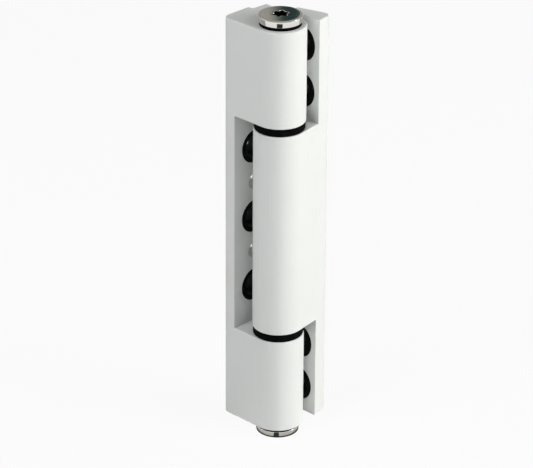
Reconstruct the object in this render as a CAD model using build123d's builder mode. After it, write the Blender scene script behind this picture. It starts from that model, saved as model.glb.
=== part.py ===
from build123d import *
from math import cos, radians, sin, tan
import os

# Three-knuckle door hinge, closed and upright: the frame leaf carries the upper and lower knuckles,
# the door leaf the middle one, and the two leaves stand at a right angle round the pin.
# Millimetres, +Z up along the pin. The origin is the middle of the frame leaf's fixings, on the face
# that bears on the frame. +X runs from that face to the pin, and +Y back along the door leaf.

# Knuckles
knuckle_diameter = 18.0
outer_knuckle_length = 35.0
middle_knuckle_length = 75.0
thrust_gap = 2.8
knuckle_bore_diameter = 11.0
rim_rounding = 0.5

# Both leaves, in plan
leaf_corner_radius = 2.45

# Frame leaf, in plan
frame_reach = 18.3
frame_plate_thickness = 5.7
frame_step_setback = 3.4
frame_step_depth = 1.8
frame_tail_taper = 0.45
frame_back_rise = 0.65
frame_back_fall_angle = 9.0

# Door leaf, in plan
door_depth = 18.8
door_running_gap = 2.35
door_side_angle = 9.0
door_taper_angle = 17.2
door_tail_length = 6.6

# Fixings: black sleeves let into the leaves, with a countersunk bore for the screws
frame_fixing_setback = 0.8
frame_fixing_pitch = 26.4
frame_insert_diameter = 12.2
pilot_hole_diameter = 5.7
door_fixing_end_distance = 10.35
door_fixing_pitch = 16.85
door_insert_height = 12.3
door_insert_width = 10.6
insert_flange_thickness = 1.2
insert_neck_diameter = 7.6
insert_rim_rounding = 0.4
screw_bore_diameter = 5.3
screw_seat_diameter = 8.4
screw_seat_angle = 90.0
insert_clearance = 0.03

# Pin, bushes, washers and cap screws
pin_diameter = 8.0
pin_running_clearance = 0.04
bush_fit_clearance = 0.03
end_bush_length = 12.0
inner_bush_length = 12.0
middle_bush_length = 16.0
bush_flange_inset = 1.8
bush_flange_thickness = 1.2
washer_inset = 0.2
washer_bore_clearance = 0.1
axial_play = 0.05
cap_head_inset = 1.5
cap_head_height = 2.5
cap_chamfer_width = 1.2
cap_chamfer_height = 0.5
cap_shank_diameter = 5.0
cap_shank_length = 12.0
cap_hole_run_out = 2.0
cap_shank_clearance = 0.03
socket_core_diameter = 4.2
socket_lobe_diameter = 1.5
socket_width = 5.8
socket_depth = 1.8

# Sizes that follow from the ones above
knuckle_radius = knuckle_diameter / 2
half_middle = middle_knuckle_length / 2
half_recess = half_middle + thrust_gap
half_height = half_recess + outer_knuckle_length
pin_x = frame_reach
pin_y = -frame_fixing_setback
frame_back_setback = knuckle_radius + frame_back_rise
frame_back_fall = radians(frame_back_fall_angle)
frame_back_run_out = (frame_back_setback * cos(frame_back_fall) - knuckle_radius) / sin(frame_back_fall)
door_inner_face = knuckle_radius + door_running_gap
door_side = radians(door_side_angle)
door_taper = radians(door_taper_angle)
door_corner_reach = (knuckle_radius - door_depth * sin(door_side)) / cos(door_side)
door_tail_depth = door_depth - (door_corner_reach + door_tail_length) * tan(door_taper)
frame_fixing_heights = {"upper": frame_fixing_pitch, "centre": 0.0, "lower": -frame_fixing_pitch}
top_fixing_height = half_height - door_fixing_end_distance
door_fixing_heights = {
    "top": top_fixing_height,
    "upper": top_fixing_height - door_fixing_pitch,
    "lower": door_fixing_pitch - top_fixing_height,
    "bottom": -top_fixing_height,
}
cap_seat = half_height + bush_flange_thickness
ends = {"top": 1, "bottom": -1}
halves = {"upper": 1, "lower": -1}


def level(height, side=1):
    """Horizontal plane through the pin axis at a height, facing up (side 1) or down (side -1)."""
    return Plane(origin=(pin_x, pin_y, height), x_dir=(1, 0, 0), z_dir=(0, 0, side))


def frame_screw_face(height=0.0):
    """The recessed face of the frame leaf that the screw heads sit in, at a height."""
    return Plane(origin=(frame_plate_thickness, 0, height), x_dir=(0, 1, 0), z_dir=(1, 0, 0))


def door_screw_face(height=0.0):
    """The inner face of the door leaf that the screw heads sit in, at a height."""
    return Plane(origin=(pin_x, pin_y + door_inner_face, height), x_dir=(1, 0, 0), z_dir=(0, -1, 0))


# The slanted outer face of the door leaf, which bears on the door
door_mounting_face = Plane(
    origin=(pin_x + door_corner_reach, pin_y + door_depth, 0),
    x_dir=(0, 0, 1),
    z_dir=(-sin(door_taper), cos(door_taper), 0),
)


def rims_at(builder, height):
    """The level edges of a piece at a height above and below its middle."""
    return builder.edges().filter_by(lambda edge: abs(abs(edge.center().Z) - height) < rim_rounding / 2)


def finish(builder, name):
    """Label a finished piece and write it out."""
    builder.part.label = name
    export_step(builder.part, f"parts/{name}.step")


os.makedirs("parts", exist_ok=True)

# Frame leaf: one extruded section, the middle cut away down to its plate
with BuildPart() as frame_leaf:
    with BuildSketch(level(-half_height)) as frame_section:
        Circle(knuckle_radius)
        with BuildLine():
            Polyline(
                (0, -knuckle_radius),
                (-frame_reach, -knuckle_radius),
                (-frame_reach, frame_step_setback),
                (frame_step_depth - frame_reach, frame_step_setback),
                (frame_step_depth + frame_tail_taper - frame_reach, frame_back_setback),
                (-frame_back_run_out, frame_back_setback),
                (knuckle_radius * sin(frame_back_fall), knuckle_radius * cos(frame_back_fall)),
                close=True,
            )
        make_face()
        front_corner = frame_section.vertices().group_by(Axis.Y)[0].sort_by(Axis.X)[0]
        fillet(front_corner, radius=leaf_corner_radius)
    extrude(amount=2 * half_height)
    end_faces = frame_leaf.faces().filter_by(Axis.Z)
    fillet(end_faces.edges(), radius=rim_rounding)
    recess_depth = frame_reach - frame_plate_thickness
    with BuildSketch(level(-half_recess)):
        with Locations((-recess_depth, 0)):
            Rectangle(recess_depth + knuckle_diameter, 2 * knuckle_diameter, align=(Align.MIN, Align.CENTER))
    extrude(amount=2 * half_recess, mode=Mode.SUBTRACT)
    fillet(rims_at(frame_leaf, half_recess).filter_by(Axis.Y, reverse=True), radius=rim_rounding)
    with Locations(level(0)):
        Hole(knuckle_bore_diameter / 2)
    with Locations(*[frame_screw_face(height) for height in frame_fixing_heights.values()]):
        CounterBoreHole(insert_neck_diameter / 2, frame_insert_diameter / 2, insert_flange_thickness)
    with Locations(frame_screw_face(frame_fixing_pitch / 2), frame_screw_face(-frame_fixing_pitch / 2)):
        Hole(pilot_hole_diameter / 2, depth=frame_plate_thickness)
finish(frame_leaf, "frame_leaf")

# Door leaf: one extruded section, cut back at both ends to its slanted plate
with BuildPart() as door_leaf:
    with BuildSketch(level(-half_height)) as door_section:
        Circle(knuckle_radius)
        with BuildLine():
            Polyline(
                (0, 0),
                (knuckle_radius * cos(door_side), knuckle_radius * sin(door_side)),
                (door_corner_reach, door_depth),
                (-door_tail_length, door_tail_depth),
                (-door_tail_length, 0),
                close=True,
            )
        make_face()
        outer_corner = door_section.vertices().sort_by(Axis.Y)[-1]
        fillet(outer_corner, radius=leaf_corner_radius)
    extrude(amount=2 * half_height)
    end_faces = door_leaf.faces().filter_by(Axis.Z)
    fillet(end_faces.edges(), radius=rim_rounding)
    clearance_length = half_height - half_middle
    with BuildSketch(level(-half_height), level(half_middle)):
        with Locations((0, door_inner_face)):
            Rectangle(2 * knuckle_diameter, 2 * knuckle_diameter, align=(Align.CENTER, Align.MAX))
    extrude(amount=clearance_length, mode=Mode.SUBTRACT)
    fillet(rims_at(door_leaf, half_middle).filter_by(Axis.X, reverse=True), radius=rim_rounding)
    with Locations(level(0)):
        Hole(knuckle_bore_diameter / 2)
    with BuildSketch(*[door_screw_face(height) for height in door_fixing_heights.values()]):
        Ellipse(door_insert_width / 2, door_insert_height / 2)
    extrude(amount=-insert_flange_thickness, mode=Mode.SUBTRACT)
    with Locations(*[door_screw_face(height) for height in door_fixing_heights.values()]):
        Hole(insert_neck_diameter / 2, depth=door_depth)
finish(door_leaf, "door_leaf")

# Round inserts of the frame leaf, whose necks end level with the face on the frame
for position, height in frame_fixing_heights.items():
    with BuildPart() as frame_insert:
        with BuildSketch(frame_screw_face(height)):
            Circle(frame_insert_diameter / 2 - insert_clearance)
        extrude(amount=-insert_flange_thickness)
        with BuildSketch(frame_screw_face(height)):
            Circle(insert_neck_diameter / 2 - insert_clearance)
        extrude(amount=-frame_plate_thickness)
        fillet(frame_insert.faces().sort_by(Axis.X)[-1].edges(), radius=insert_rim_rounding)
        with Locations(frame_screw_face(height)):
            CounterSinkHole(screw_bore_diameter / 2, screw_seat_diameter / 2, counter_sink_angle=screw_seat_angle)
    finish(frame_insert, f"{position}_frame_insert")

# Oval inserts of the door leaf, whose necks are cut along the slanted face
for position, height in door_fixing_heights.items():
    with BuildPart() as door_insert:
        with BuildSketch(door_screw_face(height)):
            Ellipse(door_insert_width / 2 - insert_clearance, door_insert_height / 2 - insert_clearance)
        extrude(amount=-insert_flange_thickness)
        with BuildSketch(door_screw_face(height)):
            Circle(insert_neck_diameter / 2 - insert_clearance)
        extrude(amount=-door_depth)
        split(bisect_by=door_mounting_face, keep=Keep.BOTTOM)
        fillet(door_insert.faces().sort_by(Axis.Y)[0].edges(), radius=insert_rim_rounding)
        with Locations(door_screw_face(height)):
            CounterSinkHole(screw_bore_diameter / 2, screw_seat_diameter / 2, counter_sink_angle=screw_seat_angle)
    finish(door_insert, f"{position}_door_insert")

# Pin, tapped at both ends for the cap screws
with BuildPart() as hinge_pin:
    with BuildSketch(level(-cap_seat)):
        Circle(pin_diameter / 2)
    extrude(amount=2 * cap_seat)
    with Locations(level(cap_seat), level(-cap_seat, side=-1)):
        Hole(cap_shank_diameter / 2 + cap_shank_clearance, depth=cap_shank_length + cap_hole_run_out)
finish(hinge_pin, "hinge_pin")

# Bushes: flanged ones at the hinge's ends, plain ones beside the two thrust washers
bush_radius = knuckle_bore_diameter / 2 - bush_fit_clearance
bush_bore_radius = pin_diameter / 2 + pin_running_clearance
for end, side in ends.items():
    with BuildPart() as end_bush:
        with BuildSketch(level(side * half_height, side)):
            Circle(knuckle_radius - bush_flange_inset)
        extrude(amount=bush_flange_thickness)
        with BuildSketch(level(side * half_height, side)):
            Circle(bush_radius)
        extrude(amount=-end_bush_length)
        with Locations(level(side * half_height, side)):
            Hole(bush_bore_radius)
    finish(end_bush, f"{end}_end_bush")

for half, side in halves.items():
    for place, mouth, length in (
        ("inner", side * half_recess, inner_bush_length),
        ("middle", side * half_middle, -middle_bush_length),
    ):
        with BuildPart() as plain_bush:
            with BuildSketch(level(mouth, side)):
                Circle(bush_radius)
                Circle(bush_bore_radius, mode=Mode.SUBTRACT)
            extrude(amount=length)
        finish(plain_bush, f"{half}_{place}_bush")

    # Thrust washers lie against the outer knuckles and leave the middle one its play
    with BuildPart() as thrust_washer:
        with BuildSketch(level(side * half_recess, side)):
            Circle(knuckle_radius - washer_inset)
            Circle(pin_diameter / 2 + washer_bore_clearance, mode=Mode.SUBTRACT)
        extrude(amount=axial_play - thrust_gap)
        fillet(thrust_washer.edges().filter_by(GeomType.CIRCLE).group_by(SortBy.LENGTH)[-1], radius=rim_rounding)
    finish(thrust_washer, f"{half}_thrust_washer")

# Cap screws: low chamfered heads with a six-lobe socket, their shanks in the pin's ends
for end, side in ends.items():
    with BuildPart() as cap_screw:
        with BuildSketch(level(side * cap_seat, side)):
            Circle(knuckle_radius - cap_head_inset)
        extrude(amount=cap_head_height)
        head_rims = cap_screw.edges().filter_by(GeomType.CIRCLE).sort_by(Axis.Z)
        outer_rim = head_rims[-1] if side > 0 else head_rims[0]
        head_top = cap_screw.faces().filter_by(Axis.Z).sort_by(Axis.Z)[-1 if side > 0 else 0]
        chamfer(outer_rim, length=cap_chamfer_width, length2=cap_chamfer_height, reference=head_top)
        with BuildSketch(level(side * (cap_seat + cap_head_height), side)):
            Circle(socket_core_diameter / 2)
            with PolarLocations((socket_width - socket_lobe_diameter) / 2, 6):
                Circle(socket_lobe_diameter / 2)
        extrude(amount=-socket_depth, mode=Mode.SUBTRACT)
        with BuildSketch(level(side * cap_seat, side)):
            Circle(cap_shank_diameter / 2)
        extrude(amount=-cap_shank_length)
    finish(cap_screw, f"{end}_cap_screw")
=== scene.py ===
from math import cos, pi, radians, sin, tan

import bpy
import numpy as np
from mathutils import Matrix, Vector


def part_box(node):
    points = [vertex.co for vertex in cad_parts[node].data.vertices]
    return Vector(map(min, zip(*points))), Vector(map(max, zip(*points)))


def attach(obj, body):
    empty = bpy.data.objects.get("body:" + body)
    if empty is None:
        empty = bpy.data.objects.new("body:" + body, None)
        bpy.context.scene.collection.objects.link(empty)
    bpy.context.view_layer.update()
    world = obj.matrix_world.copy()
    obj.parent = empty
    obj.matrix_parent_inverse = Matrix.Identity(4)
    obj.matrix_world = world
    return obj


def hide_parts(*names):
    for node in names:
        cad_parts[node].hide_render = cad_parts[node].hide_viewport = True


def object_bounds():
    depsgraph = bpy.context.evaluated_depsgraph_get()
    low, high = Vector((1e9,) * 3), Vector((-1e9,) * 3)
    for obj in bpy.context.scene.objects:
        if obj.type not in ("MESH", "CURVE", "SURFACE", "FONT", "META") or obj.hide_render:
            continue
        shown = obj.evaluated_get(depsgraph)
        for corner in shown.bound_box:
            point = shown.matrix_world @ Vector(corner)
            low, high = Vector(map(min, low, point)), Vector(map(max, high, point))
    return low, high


# Looks of the angled hinge: white powder coat on both leaves, polished cap screws on the pin's ends,
# black moulded sleeves in the leaves and black nylon rings between the knuckles.

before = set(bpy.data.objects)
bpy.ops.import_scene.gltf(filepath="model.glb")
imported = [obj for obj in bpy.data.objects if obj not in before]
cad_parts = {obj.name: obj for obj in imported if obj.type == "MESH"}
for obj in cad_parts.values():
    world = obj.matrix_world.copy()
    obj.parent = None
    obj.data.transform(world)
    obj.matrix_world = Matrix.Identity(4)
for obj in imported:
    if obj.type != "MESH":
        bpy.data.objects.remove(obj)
cad_low, cad_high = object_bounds()
mm = 0.001

# The hinge's middle, in metres: on the pin axis, at height 0
pin_low, pin_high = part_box("hinge_pin")
pin_axis = (pin_low + pin_high) / 2
hinge_middle = Vector((pin_axis.x, pin_axis.y, 0.0))

# Cap screws, in millimetres from the seat on the bush
head_radius = 7.5
head_height = 2.5
face_radius = 6.95
rim_top = 2.2
crown = 0.16
socket_middle = 2.5
socket_wave = 0.4
socket_lobes = 6
socket_depth = 1.8
socket_rounding = 0.12
shank_radius = 2.5
shank_length = 12.0
thread_pitch = 0.8
thread_depth = 0.43

# Fixing sleeves, in millimetres. The door leaf's are narrower inside, so that no ground shows through them.
sleeve_flange = 1.2
sleeve_neck_radius = 3.77
frame_bore_radius = 2.65
frame_seat_radius = 4.2
door_bore_radius = 2.0
door_seat_radius = 3.2
door_round_radius = 4.2
door_slant = tan(radians(17.2))


class Field:
    """An output socket: a number, vector, colour or shader, which may vary over a surface. Between numbers,
    + - * add their Math nodes."""

    def __init__(self, finish, socket):
        self.finish, self.socket = finish, socket

    def __add__(self, other):
        return self.finish.math("ADD", self, other)

    def __sub__(self, other):
        return self.finish.math("SUBTRACT", self, other)

    def __rsub__(self, other):
        return self.finish.math("SUBTRACT", other, self)

    def __mul__(self, other):
        return self.finish.math("MULTIPLY", self, other)

    __radd__, __rmul__ = __add__, __mul__


class Finish:
    """The node tree of a material or world. Every node of it comes from node()."""

    def __init__(self, tree):
        self.tree = tree

    def node(self, kind, settings=None, inputs=None, output=0):
        """Add a node, set its settings, then give its inputs their values or links, and return one output."""
        added = self.tree.nodes.new(kind)
        for name, value in (settings or {}).items():
            setattr(added, name, value)
        for name, value in (inputs or {}).items():
            if isinstance(value, Field):
                self.tree.links.new(value.socket, added.inputs[name])
            else:
                added.inputs[name].default_value = value
        return Field(self, added.outputs[output])

    def math(self, operation, *terms):
        """A Math node over fields or numbers."""
        return self.node("ShaderNodeMath", {"operation": operation}, dict(enumerate(terms)))

    def mix(self, factor, first, second):
        """Mix two colours by a factor."""
        return self.node("ShaderNodeMix", {"data_type": "RGBA"}, {0: factor, 6: first, 7: second}, output=2)

    def vector(self, operation, first, second):
        """A Vector Math node over two vectors."""
        return self.node("ShaderNodeVectorMath", {"operation": operation}, {0: first, 1: second})

    def noise(self, place, size, detail=2.0, roughness=0.5):
        """Noise whose lumps are about this size in metres, from 0 to 1."""
        return self.node("ShaderNodeTexNoise", {}, {
            "Vector": place, "Scale": 1.0 / size, "Detail": detail, "Roughness": roughness})

    def stretch(self, place, scale):
        """The place times a scale for each axis, which draws a pattern out along the smallest."""
        return self.node("ShaderNodeMapping", {}, {"Vector": place, "Scale": scale})

    def bump(self, height, depth, below=None):
        """Relief of this depth in metres, laid over the relief below it if there is one."""
        inputs = {"Height": height, "Distance": depth, "Strength": 1.0}
        if below is not None:
            inputs["Normal"] = below
        return self.node("ShaderNodeBump", {}, inputs)

    def soft_edges(self, radius):
        """A normal that turns over sharp edges as if they were rounded by this radius in metres."""
        return self.node("ShaderNodeBevel", {"samples": 4}, {"Radius": radius})

    def place(self):
        """The point of the piece in its own coordinates, which are the hinge's."""
        return self.node("ShaderNodeTexCoord", output=3)

    def parts(self, vector):
        """The x, y and z of a vector, as three fields."""
        first = self.node("ShaderNodeSeparateXYZ", {}, {0: vector})
        return [Field(self, output) for output in first.socket.node.outputs]

    def from_axis(self):
        """The place measured from the pin axis."""
        return self.vector("SUBTRACT", self.place(), hinge_middle)

    def steps(self, value, low, high):
        """0 below low, 1 above high, and a smooth rise between them."""
        return self.node("ShaderNodeMapRange", {"interpolation_type": "SMOOTHSTEP"}, {
            "Value": value, "From Min": low, "From Max": high})


def new_material(name, **constants):
    """A material whose shader has these sockets set, with underscores for the spaces in their names."""
    material = bpy.data.materials.new(name)
    material.use_nodes = True
    shader = material.node_tree.nodes["Principled BSDF"]
    for socket, value in constants.items():
        shader.inputs[socket.replace("_", " ")].default_value = value
    return material, Finish(material.node_tree), shader


def feed(finish, shader, **fields):
    """Link fields to the shader's sockets, with underscores for the spaces in their names."""
    for socket, field in fields.items():
        finish.tree.links.new(field.socket, shader.inputs[socket.replace("_", " ")])


def white_coating():
    """Satin powder coat: fine orange peel over faint die lines along the extrusion, small changes of tone
    and gloss, and a few dust specks under the coat."""
    material, finish, shader = new_material("white_coating", Specular_IOR_Level=0.4, Coat_Roughness=0.25)
    place = finish.place()
    peel = finish.noise(place, 1.1 * mm, detail=3.0, roughness=0.55)
    grain = finish.noise(place, 0.16 * mm)
    die_lines = finish.noise(finish.stretch(place, (1.0, 1.0, 0.012)), 0.5 * mm, detail=3.0)
    cloud = finish.noise(place, 24 * mm, detail=3.0)
    specks = finish.steps(finish.noise(place, 0.55 * mm, detail=1.0), 0.76, 0.8)
    tone = finish.mix(cloud * 0.7 + peel * 0.3, (0.795, 0.815, 0.80, 1.0), (0.845, 0.865, 0.85, 1.0))
    feed(finish, shader,
         Base_Color=finish.mix(specks * 0.3, tone, (0.62, 0.61, 0.59, 1.0)),
         Roughness=0.4 + peel * 0.1 + grain * 0.06,
         Coat_Weight=0.04 + cloud * 0.08,
         Normal=finish.bump(grain, 0.004 * mm, finish.bump(peel, 0.03 * mm, finish.bump(
             die_lines, 0.006 * mm, finish.soft_edges(0.25 * mm)))))
    return material


def turned_steel():
    """Polished steel with the fine rings of the lathe round the pin axis, light rubs and handling marks.
    Inside the socket, by radius and height, the steel is duller and its colour is darkened as painted shade
    of the hollow."""
    material, finish, shader = new_material("turned_steel", Metallic=1.0)
    place, from_axis = finish.place(), finish.from_axis()
    flat = finish.vector("MULTIPLY", from_axis, (1.0, 1.0, 0.0))
    radius = finish.node("ShaderNodeVectorMath", {"operation": "LENGTH"}, {0: flat}, output=1)
    height = finish.parts(place)[2]
    track = finish.node("ShaderNodeCombineXYZ", {}, {0: radius, 1: height * 1.6})
    rings = finish.noise(track, 0.22 * mm, detail=3.0, roughness=0.6)
    bands = finish.noise(track, 0.7 * mm, detail=3.0)
    rubs = finish.noise(place, 2.2 * mm, detail=4.0, roughness=0.6)
    socket_edge, top = (socket_middle + socket_wave) * mm, cad_high.z
    # Painted shade: inside the socket, chosen by radius and height, the colour is darkened where the hollow's
    # shade falls.
    painted_socket_shade = (1 - finish.steps(radius, socket_edge, socket_edge + 0.2 * mm)) * (
        1 - finish.steps(finish.math("ABSOLUTE", height), top - 0.42 * mm, top - 0.17 * mm))
    polish = finish.mix(bands * 0.7 + rubs * 0.3, (0.58, 0.565, 0.54, 1.0), (0.92, 0.905, 0.87, 1.0))
    feed(finish, shader,
         Base_Color=finish.mix(painted_socket_shade, polish, (0.035, 0.04, 0.04, 1.0)),
         Roughness=0.03 + rings * 0.07 + rubs * 0.04 + painted_socket_shade * 0.2,
         Normal=finish.bump(rubs, 0.006 * mm, finish.bump(rings, 0.0012 * mm)))
    return material


def ground_steel():
    """Pin steel, ground round its axis: short fine scratches round the pin and a few duller patches."""
    material, finish, shader = new_material("ground_steel", Metallic=1.0)
    place = finish.place()
    scratches = finish.noise(finish.stretch(place, (0.08, 0.08, 1.0)), 0.07 * mm, detail=4.0, roughness=0.65)
    patches = finish.noise(place, 5 * mm, detail=3.0)
    feed(finish, shader,
         Base_Color=finish.mix(patches, (0.53, 0.53, 0.525, 1.0), (0.66, 0.66, 0.65, 1.0)),
         Roughness=0.22 + scratches * 0.2 + patches * 0.08,
         Normal=finish.bump(scratches, 0.008 * mm))
    return material


def black_nylon():
    """Matt black nylon with a fine eroded grain and paler rubbed spots."""
    material, finish, shader = new_material("black_nylon", Specular_IOR_Level=0.02)
    place = finish.place()
    grain = finish.noise(place, 0.22 * mm, detail=3.0, roughness=0.6)
    rubbed = finish.steps(finish.noise(place, 3.5 * mm, detail=4.0), 0.5, 0.75)
    tone = finish.mix(rubbed * 0.4 + grain * 0.2, (0.0015, 0.0016, 0.0016, 1.0), (0.008, 0.0085, 0.0085, 1.0))
    feed(finish, shader,
         Base_Color=tone,
         Roughness=0.5 + grain * 0.16 - rubbed * 0.1,
         Normal=finish.bump(grain, 0.02 * mm))
    return material


def moulded_black():
    """Black moulded plastic: a smooth skin with slow flow waves and a trace of grain."""
    material, finish, shader = new_material("moulded_black", Specular_IOR_Level=0.06, Coat_Roughness=0.3)
    place = finish.place()
    flow = finish.noise(place, 4 * mm)
    grain = finish.noise(place, 0.2 * mm)
    feed(finish, shader,
         Base_Color=finish.mix(flow, (0.0012, 0.0012, 0.0013, 1.0), (0.004, 0.004, 0.0042, 1.0)),
         Roughness=0.3 + flow * 0.12 + grain * 0.08,
         Coat_Weight=0.005 + flow * 0.02,
         Normal=finish.bump(flow, 0.03 * mm, finish.bump(grain, 0.006 * mm)))
    return material


def flag_grey():
    """The grey of the studio flag behind and over the hinge: mid grey, with a nearly black stripe that is a
    few degrees of bearing wide and ends well below the top."""
    material, finish, shader = new_material(
        "flag_grey", Base_Color=(0.0, 0.0, 0.0, 1.0), Specular_IOR_Level=0.0, Emission_Strength=1.0)
    across, back, height = finish.parts(finish.from_axis())
    bearing = finish.math("ARCTAN2", back, across)
    stripe_left, stripe_right = (radians(130.5), radians(131.1)), (radians(133.4), radians(136.4))
    stripe_top = (0.36, 0.44)
    stripe = finish.steps(bearing, *stripe_left) * (1 - finish.steps(bearing, *stripe_right)) * (
        1 - finish.steps(height, *stripe_top))
    tone = finish.mix(stripe, (0.36, 0.355, 0.32, 1.0), (0.022, 0.045, 0.045, 1.0))
    feed(finish, shader, Emission_Color=tone)
    return material


def flag_cloth(name, colour):
    """The even tone of a cloth flag, as reflections see it, with a trace of its weave. The rings round the
    bottom head use it for painted shadow.
    """
    material, finish, shader = new_material(
        name, Base_Color=(0.0, 0.0, 0.0, 1.0), Specular_IOR_Level=0.0, Emission_Strength=1.0)
    weave = finish.noise(finish.place(), 2 * mm)
    feed(finish, shader, Emission_Color=finish.mix(weave * 0.2, colour, (0.0, 0.0, 0.0, 1.0)))
    return material


def rounded_profile(corners, radii, steps=6):
    """Corner points with every corner turned into an arc: each arc's centre lies on the corner's bisector,
    a radius over the sine of half the corner's angle away, and its points run from one side to the other.
    The profile is closed: the last corner joins the first."""
    corners, radii = np.array(corners, float), np.array(radii, float)[:, None]
    back = np.roll(corners, 1, axis=0) - corners
    ahead = np.roll(corners, -1, axis=0) - corners
    back /= np.linalg.norm(back, axis=1, keepdims=True)
    ahead /= np.linalg.norm(ahead, axis=1, keepdims=True)
    opening = np.arccos(np.clip((back * ahead).sum(1, keepdims=True), -1, 1))
    bisector = back + ahead
    bisector /= np.linalg.norm(bisector, axis=1, keepdims=True)
    centre = corners + bisector * radii / np.sin(opening / 2)
    start = corners + back * radii / np.tan(opening / 2)
    turn = (pi - opening)[:, None] * np.linspace(0, 1, steps)[None, :, None]
    first, second = (start - centre)[:, None], -back[:, None] * radii[:, None]
    return (centre[:, None] + first * np.cos(turn) + second * np.sin(turn)).reshape(-1, 2)


def grid_faces(count, around, rows_close, columns_close):
    """Faces between neighbouring points of a grid. Where rows or columns close, the last joins the first."""
    row, column = np.meshgrid(np.arange(count if rows_close else count - 1),
                              np.arange(around if columns_close else around - 1), indexing="ij")
    beside, below = (column + 1) % around, (row + 1) % count
    return np.stack([row * around + column, row * around + beside,
                     below * around + beside, below * around + column], -1).reshape(-1, 4)


def piece_from(name, points, faces):
    """A smooth mesh with sharp edges kept, as a new object that sits at the origin."""
    mesh = bpy.data.meshes.new(name)
    mesh.from_pydata(points.tolist(), [], faces)
    mesh.shade_smooth()
    mesh.set_sharp_from_angle(angle=radians(38))
    mesh.update()
    piece = bpy.data.objects.new(name, mesh)
    bpy.context.scene.collection.objects.link(piece)
    return piece


def solid_from_rows(name, rows, looped):
    """A closed mesh over a grid of points, rows by columns. Columns always run round. Rows run round too
    when looped; otherwise each end row closes to a point at its own middle."""
    count, around = rows.shape[:2]
    points = rows.reshape(-1, 3)
    quads = grid_faces(count, around, looped, True)
    triangles = np.zeros((0, 3), int)
    if not looped:
        points = np.vstack([points, rows[0].mean(0), rows[-1].mean(0)])
        edge = np.arange(around)
        next_edge = (edge + 1) % around
        last = (count - 1) * around
        triangles = np.vstack([
            np.stack([np.full(around, len(points) - 2), next_edge, edge], -1),
            np.stack([np.full(around, len(points) - 1), last + edge, last + next_edge], -1)])
    halves = np.vstack([quads[:, [0, 1, 2]], quads[:, [0, 2, 3]], triangles])
    a, b, c = (points[halves[:, k]] for k in range(3))
    if np.einsum("ij,ij->", a, np.cross(b, c)) < 0:
        quads, triangles = quads[:, ::-1], triangles[:, ::-1]
    return piece_from(name, points, quads.tolist() + triangles.tolist())


def per_row(values):
    """Values as a column, one for each row of a grid. A single number stays as it is."""
    values = np.array(values, float)
    return values[:, None] if values.ndim else values


def turned_rows(radius, height, angle):
    """Rows round the pin axis: x and y are the radius times the cosine and sine of the angle."""
    radius, height, angle = np.broadcast_arrays(radius, height, angle)
    return np.stack([pin_axis.x + radius * np.cos(angle), pin_axis.y + radius * np.sin(angle), height], -1)


def dress(piece, node, body, material):
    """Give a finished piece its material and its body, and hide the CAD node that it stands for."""
    piece.data.materials.append(material)
    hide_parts(node)
    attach(piece, body)


def cap_screw(name, side):
    """A low crowned head with a six-lobe socket on a threaded shank, turned round the pin axis.
    Socket: the radius is its middle value plus a cosine with a wave for each lobe. Face: it blends from the
    socket's shape to a circle, and its height falls as the square of the radius. Thread: the radius drops
    by a triangle wave of the height in pitches less the angle in turns."""
    angle = np.linspace(0, 2 * pi, 144, endpoint=False)[None, :]
    ones = np.ones_like(angle)
    lobes = socket_middle + socket_wave * np.cos(socket_lobes * angle)
    floor_level = head_height - socket_depth

    # The socket: a dished floor, a straight wall and a rounded lip
    inward = per_row([0.02, 0.5, 0.93, 0.985])
    dish = per_row([-0.35, -0.2, 0.0, 0.03])
    socket_floor = (lobes * inward, (floor_level + dish) * ones)
    wall_top = head_height - socket_rounding - 0.02
    wall_height = per_row(np.linspace(floor_level + socket_rounding, wall_top, 6))
    socket_wall = (lobes * np.ones_like(wall_height), wall_height * ones)
    lip = per_row(np.linspace(0, pi / 2, 5))
    lip_top = head_height - crown * 0.2
    socket_lip = (lobes + socket_rounding * (1 - np.cos(lip)),
                  lip_top - socket_rounding * (1 - np.sin(lip)) * ones)

    # The face, from the lip out to the rim
    blend = per_row(np.linspace(0.06, 1.0, 14))
    face_edge = face_radius - 0.1
    face_r = (lobes + socket_rounding) * (1 - blend) + face_edge * blend
    face = (face_r, head_height - crown * (face_r / face_radius) ** 2)

    # The rim's first and last corners only steer its ends, so their own arcs are left out.
    arc = 6
    outline = rounded_profile(
        [(face_edge, head_height - crown), (face_radius, head_height - crown - 0.03),
         (head_radius, rim_top), (head_radius, 0.0), (shank_radius, 0.0), (0.5, -1.0)],
        [0.02, 0.08, 0.2, 0.16, 0.1, 0.02], steps=arc)[arc:-arc]
    rim = (outline[:, :1] * ones, outline[:, 1:] * ones)

    # The thread fades in below a plain neck and out above the chamfered tip, over one pitch.
    neck_length, tip_length = 0.6, 0.2
    drop = per_row(np.linspace(-0.2, 0.4 - shank_length, 220))
    phase = np.abs(((drop / thread_pitch - angle / (2 * pi)) % 1.0) * 2 - 1)
    fade = (np.clip((-drop - neck_length) / thread_pitch, 0, 1)
            * np.clip((drop + shank_length - tip_length) / thread_pitch, 0, 1))
    thread = (shank_radius - thread_depth * phase * fade - 0.02 * (1 - fade), drop * ones)
    tip_radius = per_row([2.3, 1.9, 1.0, 0.05])
    tip_rise = per_row([0.12, 0.0, 0.0, 0.0])
    tip = (tip_radius * ones, (tip_rise - shank_length) * ones)

    radius, height = (np.vstack(parts) for parts in zip(
        socket_floor, socket_wall, socket_lip, face, rim, thread, tip))
    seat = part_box("top_end_bush")[1].z
    rows = turned_rows(radius * mm, side * (seat + height * mm), side * angle)
    return solid_from_rows(name, rows, looped=False)


def sleeve_profile(edge_radius, depth, bore_radius, seat_radius):
    """Closed half section of a sleeve, from its bore's foot over seat, lip and flange to its neck's foot."""
    seat_depth = seat_radius - bore_radius
    corners = [
        (bore_radius, -depth), (bore_radius, -seat_depth), (seat_radius, 0.0),
        (edge_radius, 0.0), (edge_radius, -sleeve_flange),
        (sleeve_neck_radius, -sleeve_flange), (sleeve_neck_radius, -depth)]
    return rounded_profile(corners, [0.1, 0.25, 0.12, 0.42, 0.08, 0.1, 0.1])


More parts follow.
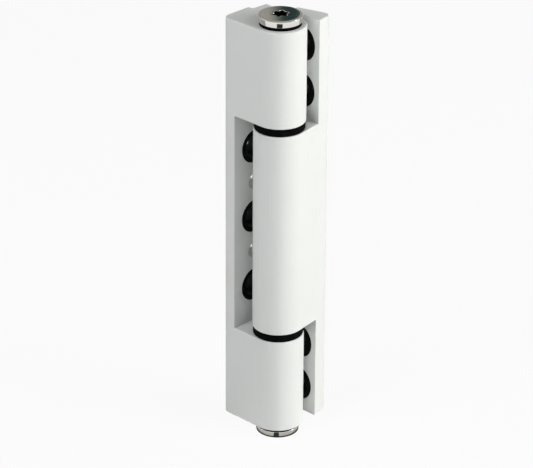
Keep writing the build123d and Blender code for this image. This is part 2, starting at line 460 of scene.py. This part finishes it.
def sleeve_rows(origin, across, outward, profile, stretch, turns=96):
    """Rows of a sleeve round its screw axis. A profile point (radius, height) goes round an ellipse: across
    times radius times cosine, up times the stretched radius times sine, and outward times the height."""
    angle = np.linspace(0, 2 * pi, turns, endpoint=False)[None, :]
    radius, height = profile[:, :1], profile[:, 1:]
    side_step = radius * np.cos(angle)
    up_step = (radius + stretch[:, None]) * np.sin(angle)
    return (np.array(origin)[None, None]
            + side_step[..., None] * np.array(across) + up_step[..., None] * np.array((0, 0, 1))
            + (height * np.ones_like(angle))[..., None] * np.array(outward))


def frame_sleeve(name, node):
    """A round sleeve of the frame leaf: the section carried round its screw axis."""
    low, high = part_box(node)
    middle = (low + high) / 2
    profile = sleeve_profile(
        (high.z - low.z) / 2 / mm, (high.x - low.x) / mm, frame_bore_radius, frame_seat_radius) * mm
    rows = sleeve_rows((high.x, middle.y, middle.z), (0, 1, 0), (1, 0, 0), profile, np.zeros(len(profile)))
    return solid_from_rows(name, rows, looped=True)


def door_sleeve(name, node):
    """An oval sleeve of the door leaf. It is round up to door_round_radius, and from there its flange
    stretches up and down in step with the radius. At the neck's foot the depth follows x by the slant."""
    low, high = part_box(node)
    middle = (low + high) / 2
    half_width, half_height = (high.x - low.x) / 2, (high.z - low.z) / 2
    shallow = (high.y - low.y) / mm - sleeve_neck_radius * door_slant
    profile = sleeve_profile(half_width / mm, shallow, door_bore_radius, door_seat_radius) * mm
    round_radius = door_round_radius * mm
    stretch = (half_height - half_width) * np.clip(
        (profile[:, 0] - round_radius) / (half_width - round_radius), 0, 1)
    rows = sleeve_rows((middle.x, low.y, middle.z), (1, 0, 0), (0, -1, 0), profile, stretch)
    foot_rounding = 0.3
    foot = profile[:, 1] < (foot_rounding - shallow) * mm
    rows[foot, :, 1] += (rows[foot, :, 0] - middle.x) * door_slant
    return solid_from_rows(name, rows, looped=True)


coating, steel, pin_finish, nylon, plastic = (
    white_coating(), turned_steel(), ground_steel(), black_nylon(), moulded_black())
node_finish = {
    "frame_leaf": coating, "door_leaf": coating, "hinge_pin": pin_finish,
    "top_end_bush": nylon, "bottom_end_bush": nylon, "upper_inner_bush": nylon, "lower_inner_bush": nylon,
    "upper_middle_bush": nylon, "lower_middle_bush": nylon,
    "upper_thrust_washer": nylon, "lower_thrust_washer": nylon,
}
for node, material in node_finish.items():
    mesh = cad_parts[node].data
    mesh.materials.clear()
    mesh.materials.append(material)

dress(cap_screw("top_cap", 1), "top_cap_screw", "frame_leaf", steel)
dress(cap_screw("bottom_cap", -1), "bottom_cap_screw", "frame_leaf", steel)
for place in ("upper", "centre", "lower"):
    dress(frame_sleeve(f"{place}_frame_sleeve", f"{place}_frame_insert"),
          f"{place}_frame_insert", "frame_leaf", plastic)
for place in ("top", "upper", "lower", "bottom"):
    dress(door_sleeve(f"{place}_door_sleeve", f"{place}_door_insert"),
          f"{place}_door_insert", "door_leaf", plastic)


def seen_directly(finish):
    """1 for camera, glossy and transmitted rays, 0 for the rays that carry diffuse light."""
    rays = [finish.node("ShaderNodeLightPath", output=name)
            for name in ("Is Camera Ray", "Is Glossy Ray", "Is Transmission Ray")]
    return finish.math("MAXIMUM", finish.math("MAXIMUM", rays[0], rays[1]), rays[2])


def pale_floor():
    """Pale matt floor that carries the hinge's shadow. The eye and reflections see it nearly white."""
    material, finish, shader = new_material(
        "pale_floor", Base_Color=(0.88, 0.88, 0.88, 1.0), Roughness=0.9, Specular_IOR_Level=0.2)
    white = finish.node("ShaderNodeEmission", {}, {"Color": (1.0, 1.0, 1.0, 1.0), "Strength": 1.0})
    shown = finish.node("ShaderNodeMixShader", {}, {
        0: seen_directly(finish) * 0.92, 1: Field(finish, shader.outputs[0]), 2: white})
    finish.tree.links.new(shown.socket, finish.tree.nodes["Material Output"].inputs["Surface"])
    return material


floor_half = 4.0
floor_corners = [(-floor_half, -floor_half, cad_low.z), (floor_half, -floor_half, cad_low.z),
                 (floor_half, floor_half, cad_low.z), (-floor_half, floor_half, cad_low.z)]
floor_mesh = bpy.data.meshes.new("floor")
floor_mesh.from_pydata(floor_corners, [], [(0, 1, 2, 3)])
floor_mesh.materials.append(pale_floor())
floor = bpy.data.objects.new("floor", floor_mesh)
bpy.context.scene.collection.objects.link(floor)


def flag(name, radius, bearing, height, material):
    """A studio flag that only reflections see: a grid with a row for each radius and height, in metres, and
    a column for each bearing round the pin axis, in degrees. Where the spread changes from row to row, the
    bearings are a grid themselves. It throws no shadow and sheds no diffuse light."""
    grid = turned_rows(per_row(radius), per_row(height), np.radians(bearing))
    count, around = grid.shape[:2]
    card = piece_from(name, grid.reshape(-1, 3), grid_faces(count, around, False, False).tolist())
    card.data.materials.append(material)
    card.visible_camera = card.visible_diffuse = card.visible_transmission = False
    card.visible_volume_scatter = card.visible_shadow = False


# The deep grey also gives the painted shadow ring round the bottom head, and the pale grey serves only for
# that painted shadow.
black_cloth = flag_cloth("flag_black", (0.03, 0.05, 0.048, 1.0))
deep_cloth_and_shadow = flag_cloth("flag_deep_grey", (0.10, 0.105, 0.10, 1.0))
grey_cloth = flag_cloth("flag_mid_grey", (0.42, 0.41, 0.385, 1.0))
pale_shadow_cloth = flag_cloth("flag_pale_shadow", (0.62, 0.61, 0.58, 1.0))

# Two domed flags, one behind and over the hinge and one at the front, which is the photograph's side.
# Bearings are in degrees from +X.
front = -45.6
rear_rise = np.radians(np.linspace(3, 82, 40))
front_rise = rear_rise[:30]
rear_radius, front_radius = 0.6, 0.5
flag("standing_flag", rear_radius * np.cos(rear_rise), np.linspace(75, 195, 60),
     rear_radius * np.sin(rear_rise), flag_grey())
flag("front_flag", front_radius * np.cos(front_rise), front + np.linspace(-80, 80, 60),
     front_radius * np.sin(front_rise), deep_cloth_and_shadow)

# A dark strip on the floor makes the bar on both heads' rims. It starts at the foot and fans out in front.
strip_reach = [0.0079, 0.012, 0.03, 0.12, 0.24, 0.5]
strip_half_spread = per_row([9.0, 9.0, 9.5, 13.0, 15.0, 15.0])
strip_bearing = front - 3.5
flag("lying_flag", strip_reach, strip_bearing + strip_half_spread * np.linspace(-1, 1, 9),
     cad_low.z + 0.2 * mm, black_cloth)

# A grey cloth on the floor behind the hinge. Round the bottom head, a dark ring and a paler one are painted
# shadow: they stand in for the floor's contact shadow where the head reflects it.
all_round = np.linspace(-180, 180, 73)
cloth_height = cad_low.z + 0.1 * mm
flag("rear_lying_flag", [0.02, 0.2, 0.4, 0.6], np.linspace(70, 232, 40), cloth_height, grey_cloth)
flag("foot_shadow_flag", [0.0076, 0.0082, 0.0089], all_round, cloth_height, deep_cloth_and_shadow)
flag("foot_half_shadow", [0.0089, 0.0108, 0.0128], all_round, cloth_height, pale_shadow_cloth)

world = bpy.data.worlds.new("studio")
bpy.context.scene.world = world
world.use_nodes = True
air = Finish(world.node_tree)
# A dim room light, and white where the eye and reflections look past the floor
ambient = air.node("ShaderNodeBackground", {}, {"Color": (0.88, 1.0, 0.96, 1.0), "Strength": 0.12})
backdrop = air.node("ShaderNodeBackground", {}, {"Color": (1.0, 1.0, 1.0, 1.0), "Strength": 1.0})
sky = air.node("ShaderNodeMixShader", {}, {0: seen_directly(air), 1: ambient, 2: backdrop})
air.tree.links.new(sky.socket, air.tree.nodes["World Output"].inputs["Surface"])


def direction_at(bearing, elevation):
    """The unit vector at a bearing from +X towards +Y and an elevation, both in radians."""
    return Vector((cos(bearing) * cos(elevation), sin(bearing) * cos(elevation), sin(elevation)))


box_distance, box_size = 1.2, 0.7


def soft_box(name, bearing, elevation, power, colour):
    """A square area lamp that looks at the hinge's middle from a bearing and an elevation, in degrees."""
    lamp = bpy.data.lights.new(name, "AREA")
    lamp.shape, lamp.size, lamp.energy, lamp.color = "SQUARE", box_size, power, colour
    holder = bpy.data.objects.new(name, lamp)
    direction = direction_at(radians(bearing), radians(elevation))
    holder.location = hinge_middle + direction * box_distance
    holder.rotation_mode = "QUATERNION"
    holder.rotation_quaternion = direction.to_track_quat("Z", "Y")
    bpy.context.scene.collection.objects.link(holder)


key_white = (1.0, 0.98, 0.955)
soft_box("low_key", 30.0, 10.0, 8.9, key_white)
soft_box("high_key", 15.0, 35.0, 4.5, key_white)
soft_box("fill", -92.0, 40.0, 6.3, (1.0, 0.965, 0.99))

# Camera at the photograph's angle: distances in metres, angles in radians
photo_width, photo_height = 533.0, 468.0
focal_pixels = 3197.936
aim_pixel = (278.85, 227.15)
view_distance = 1.099256
view_bearing, view_elevation, view_roll = -0.795793, 0.448582, 0.005756

towards = direction_at(view_bearing, view_elevation)
level_right = (-towards).cross(Vector((0, 0, 1))).normalized()
level_up = level_right.cross(-towards)
right = level_right * cos(view_roll) + level_up * sin(view_roll)
up = level_up * cos(view_roll) - level_right * sin(view_roll)
eye = (hinge_middle + towards * view_distance
       - right * ((aim_pixel[0] - photo_width / 2) / focal_pixels * view_distance)
       + up * ((aim_pixel[1] - photo_height / 2) / focal_pixels * view_distance))
lens = bpy.data.cameras.new("camera")
lens.sensor_width = 36.0
lens.lens = 36.0 * focal_pixels / photo_width
lens.clip_start, lens.clip_end = 0.01, 20.0
camera = bpy.data.objects.new("camera", lens)
camera.matrix_world = Matrix((
    (right.x, up.x, towards.x, eye.x), (right.y, up.y, towards.y, eye.y),
    (right.z, up.z, towards.z, eye.z), (0, 0, 0, 1)))
bpy.context.scene.collection.objects.link(camera)
bpy.context.scene.camera = camera
bpy.context.scene.view_settings.view_transform = "Standard"
